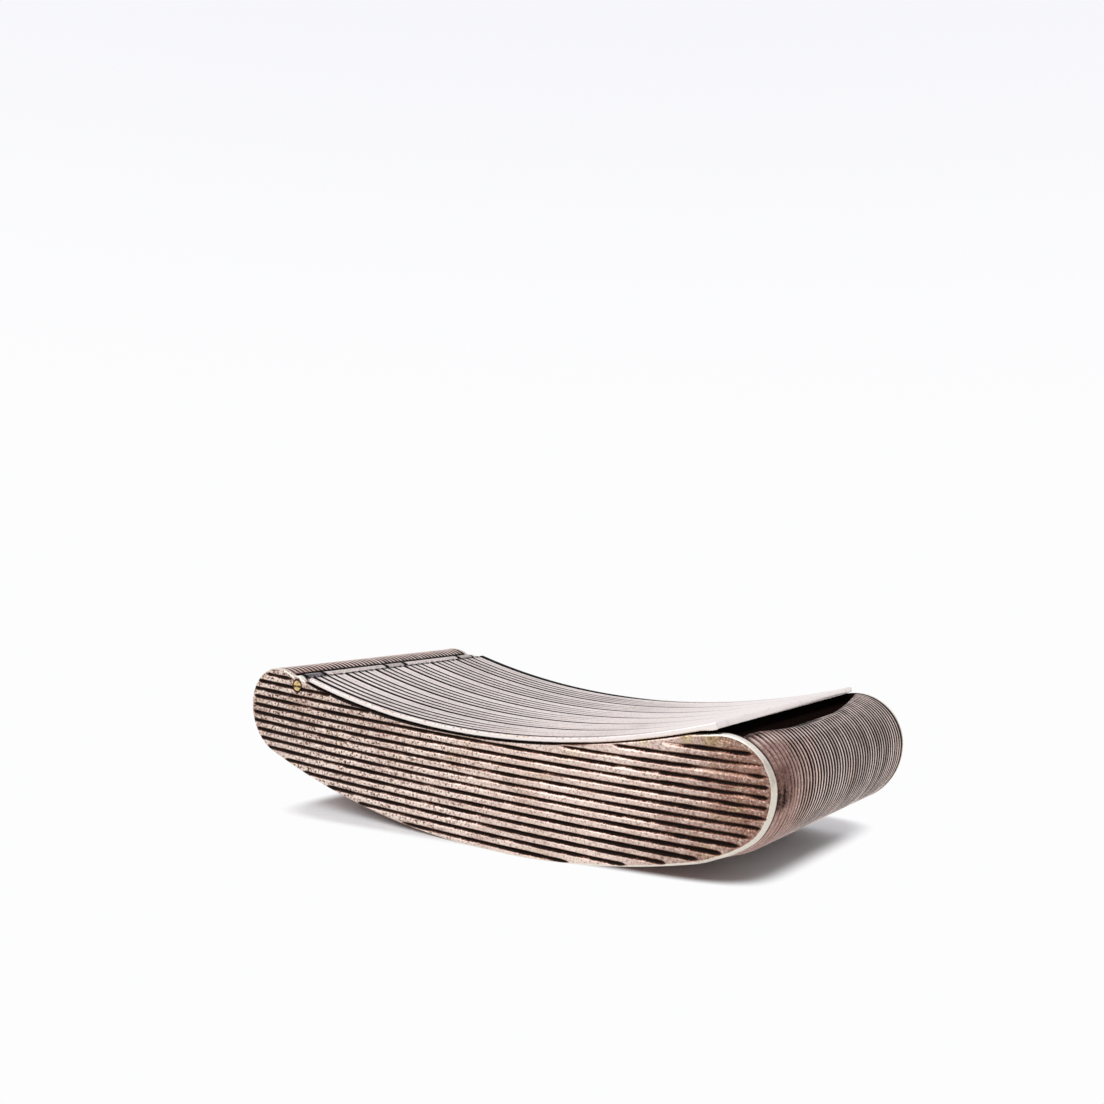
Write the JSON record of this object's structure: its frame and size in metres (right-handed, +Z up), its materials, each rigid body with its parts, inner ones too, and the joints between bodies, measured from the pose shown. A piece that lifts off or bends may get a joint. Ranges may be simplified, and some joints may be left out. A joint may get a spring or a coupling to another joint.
{
  "type": "snuff box",
  "caption": "Curved pocket snuff box of reeded silver sheet, with a hinged lid on a knuckle hinge and a thumb notch; holds snuff or small keepsakes.",
  "frame": {"origin": "middle of the bounding box in plan, on the surface that the worn flat of the base rests on", "axes": "+X from the hinge end to the thumb end, +Z up, -Y towards the front side plate"},
  "size_m": [0.076, 0.036, 0.0184],
  "materials": {
    "reeded_silver": "reeded silver, tarnished dark in the grooves",
    "lid_silver": "pale worn silver with grouped reeds",
    "gilt_silver": "silver, gilt inside",
    "pin_brass": "brass wire, filed flush"
  },
  "bodies": {
    "body": {"front_side_plate": "reeded_silver", "rear_side_plate": "reeded_silver", "wrap_band": "reeded_silver", "thumb_bearer": "gilt_silver", "hinge_bearer": "gilt_silver", "body_knuckle_front": "reeded_silver", "body_knuckle_middle": "reeded_silver", "body_knuckle_rear": "reeded_silver", "hinge_pin": "pin_brass"},
    "lid": {"lid_plate": "lid_silver", "lid_hinge_strip": "gilt_silver", "lid_knuckle_front": "lid_silver", "lid_knuckle_rear": "lid_silver", "lid_bezel_front": "gilt_silver", "lid_bezel_rear": "gilt_silver", "lid_bezel_thumb": "gilt_silver"}
  },
  "joints": [
    {"name": "lid_hinge", "type": "hinge", "parent": "body", "child": "lid", "pos_m": [-0.0295, 0, 0.01521], "axis": [0, -1, 0], "range_deg": [0, 90]}
  ]
}
